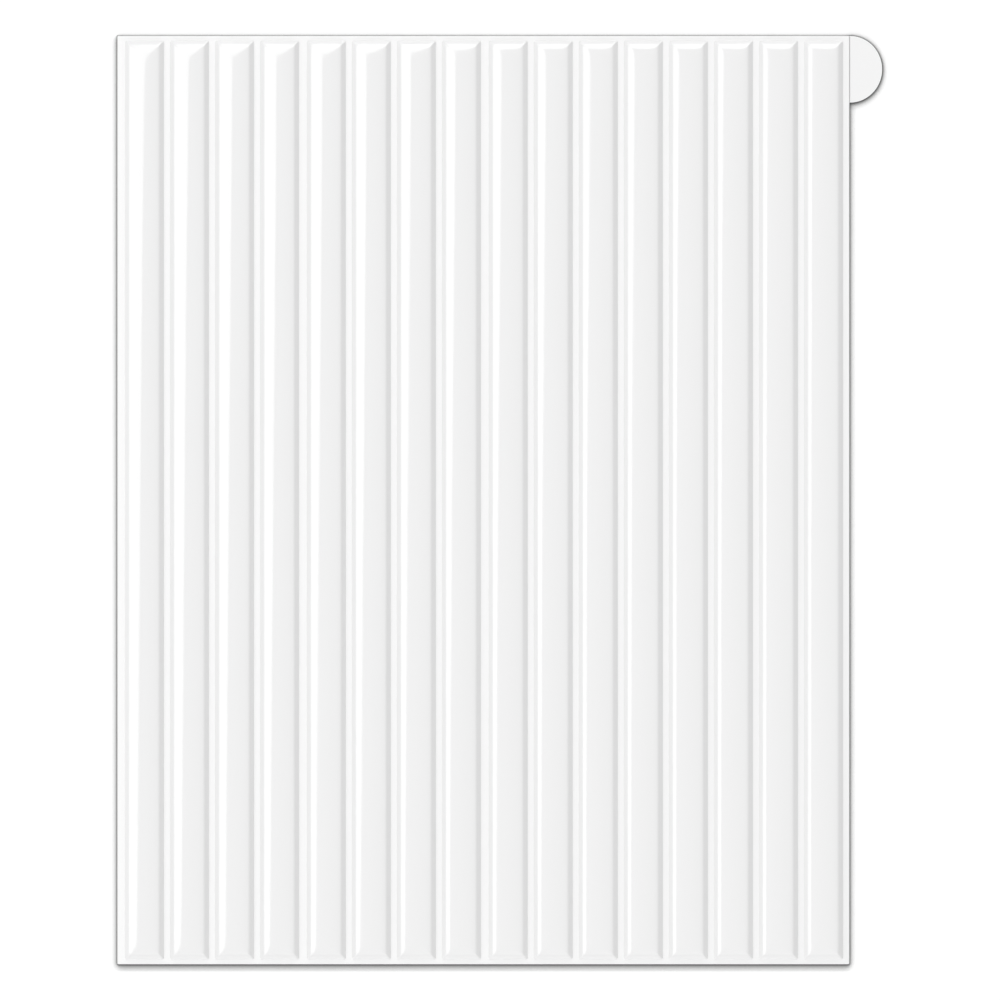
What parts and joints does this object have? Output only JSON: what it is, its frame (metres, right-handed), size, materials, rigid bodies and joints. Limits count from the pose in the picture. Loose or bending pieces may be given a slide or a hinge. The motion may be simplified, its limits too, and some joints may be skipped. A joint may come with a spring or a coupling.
{
  "type": "peel-and-stick wall tile",
  "caption": "Thin white wall tile with a fluted face of domed gel strips on a self-adhesive film, still on its release liner with a pull tab.",
  "frame": {"origin": "on the underside of the release liner, in the middle of the tile's rectangle; the pull tab is left out of that middle", "axes": "+X across the strips, towards the side that the pull tab is on; +Y along the strips, towards the end that the tab is level with; +Z out of the tile's face"},
  "size_m": [0.2396, 0.2904, 0.0022],
  "materials": {
    "gel": "glossy, clear polyurethane gel over white print",
    "film": "satin white vinyl film",
    "liner": "smooth silicone-coated paper"
  },
  "bodies": {
    "root": {"release_liner": "liner", "backing_film": "film", "gel_strip_01": "gel", "gel_strip_02": "gel", "gel_strip_03": "gel", "gel_strip_04": "gel", "gel_strip_05": "gel", "gel_strip_06": "gel", "gel_strip_07": "gel", "gel_strip_08": "gel", "gel_strip_09": "gel", "gel_strip_10": "gel", "gel_strip_11": "gel", "gel_strip_12": "gel", "gel_strip_13": "gel", "gel_strip_14": "gel", "gel_strip_15": "gel", "gel_strip_16": "gel"}
  },
  "joints": []
}
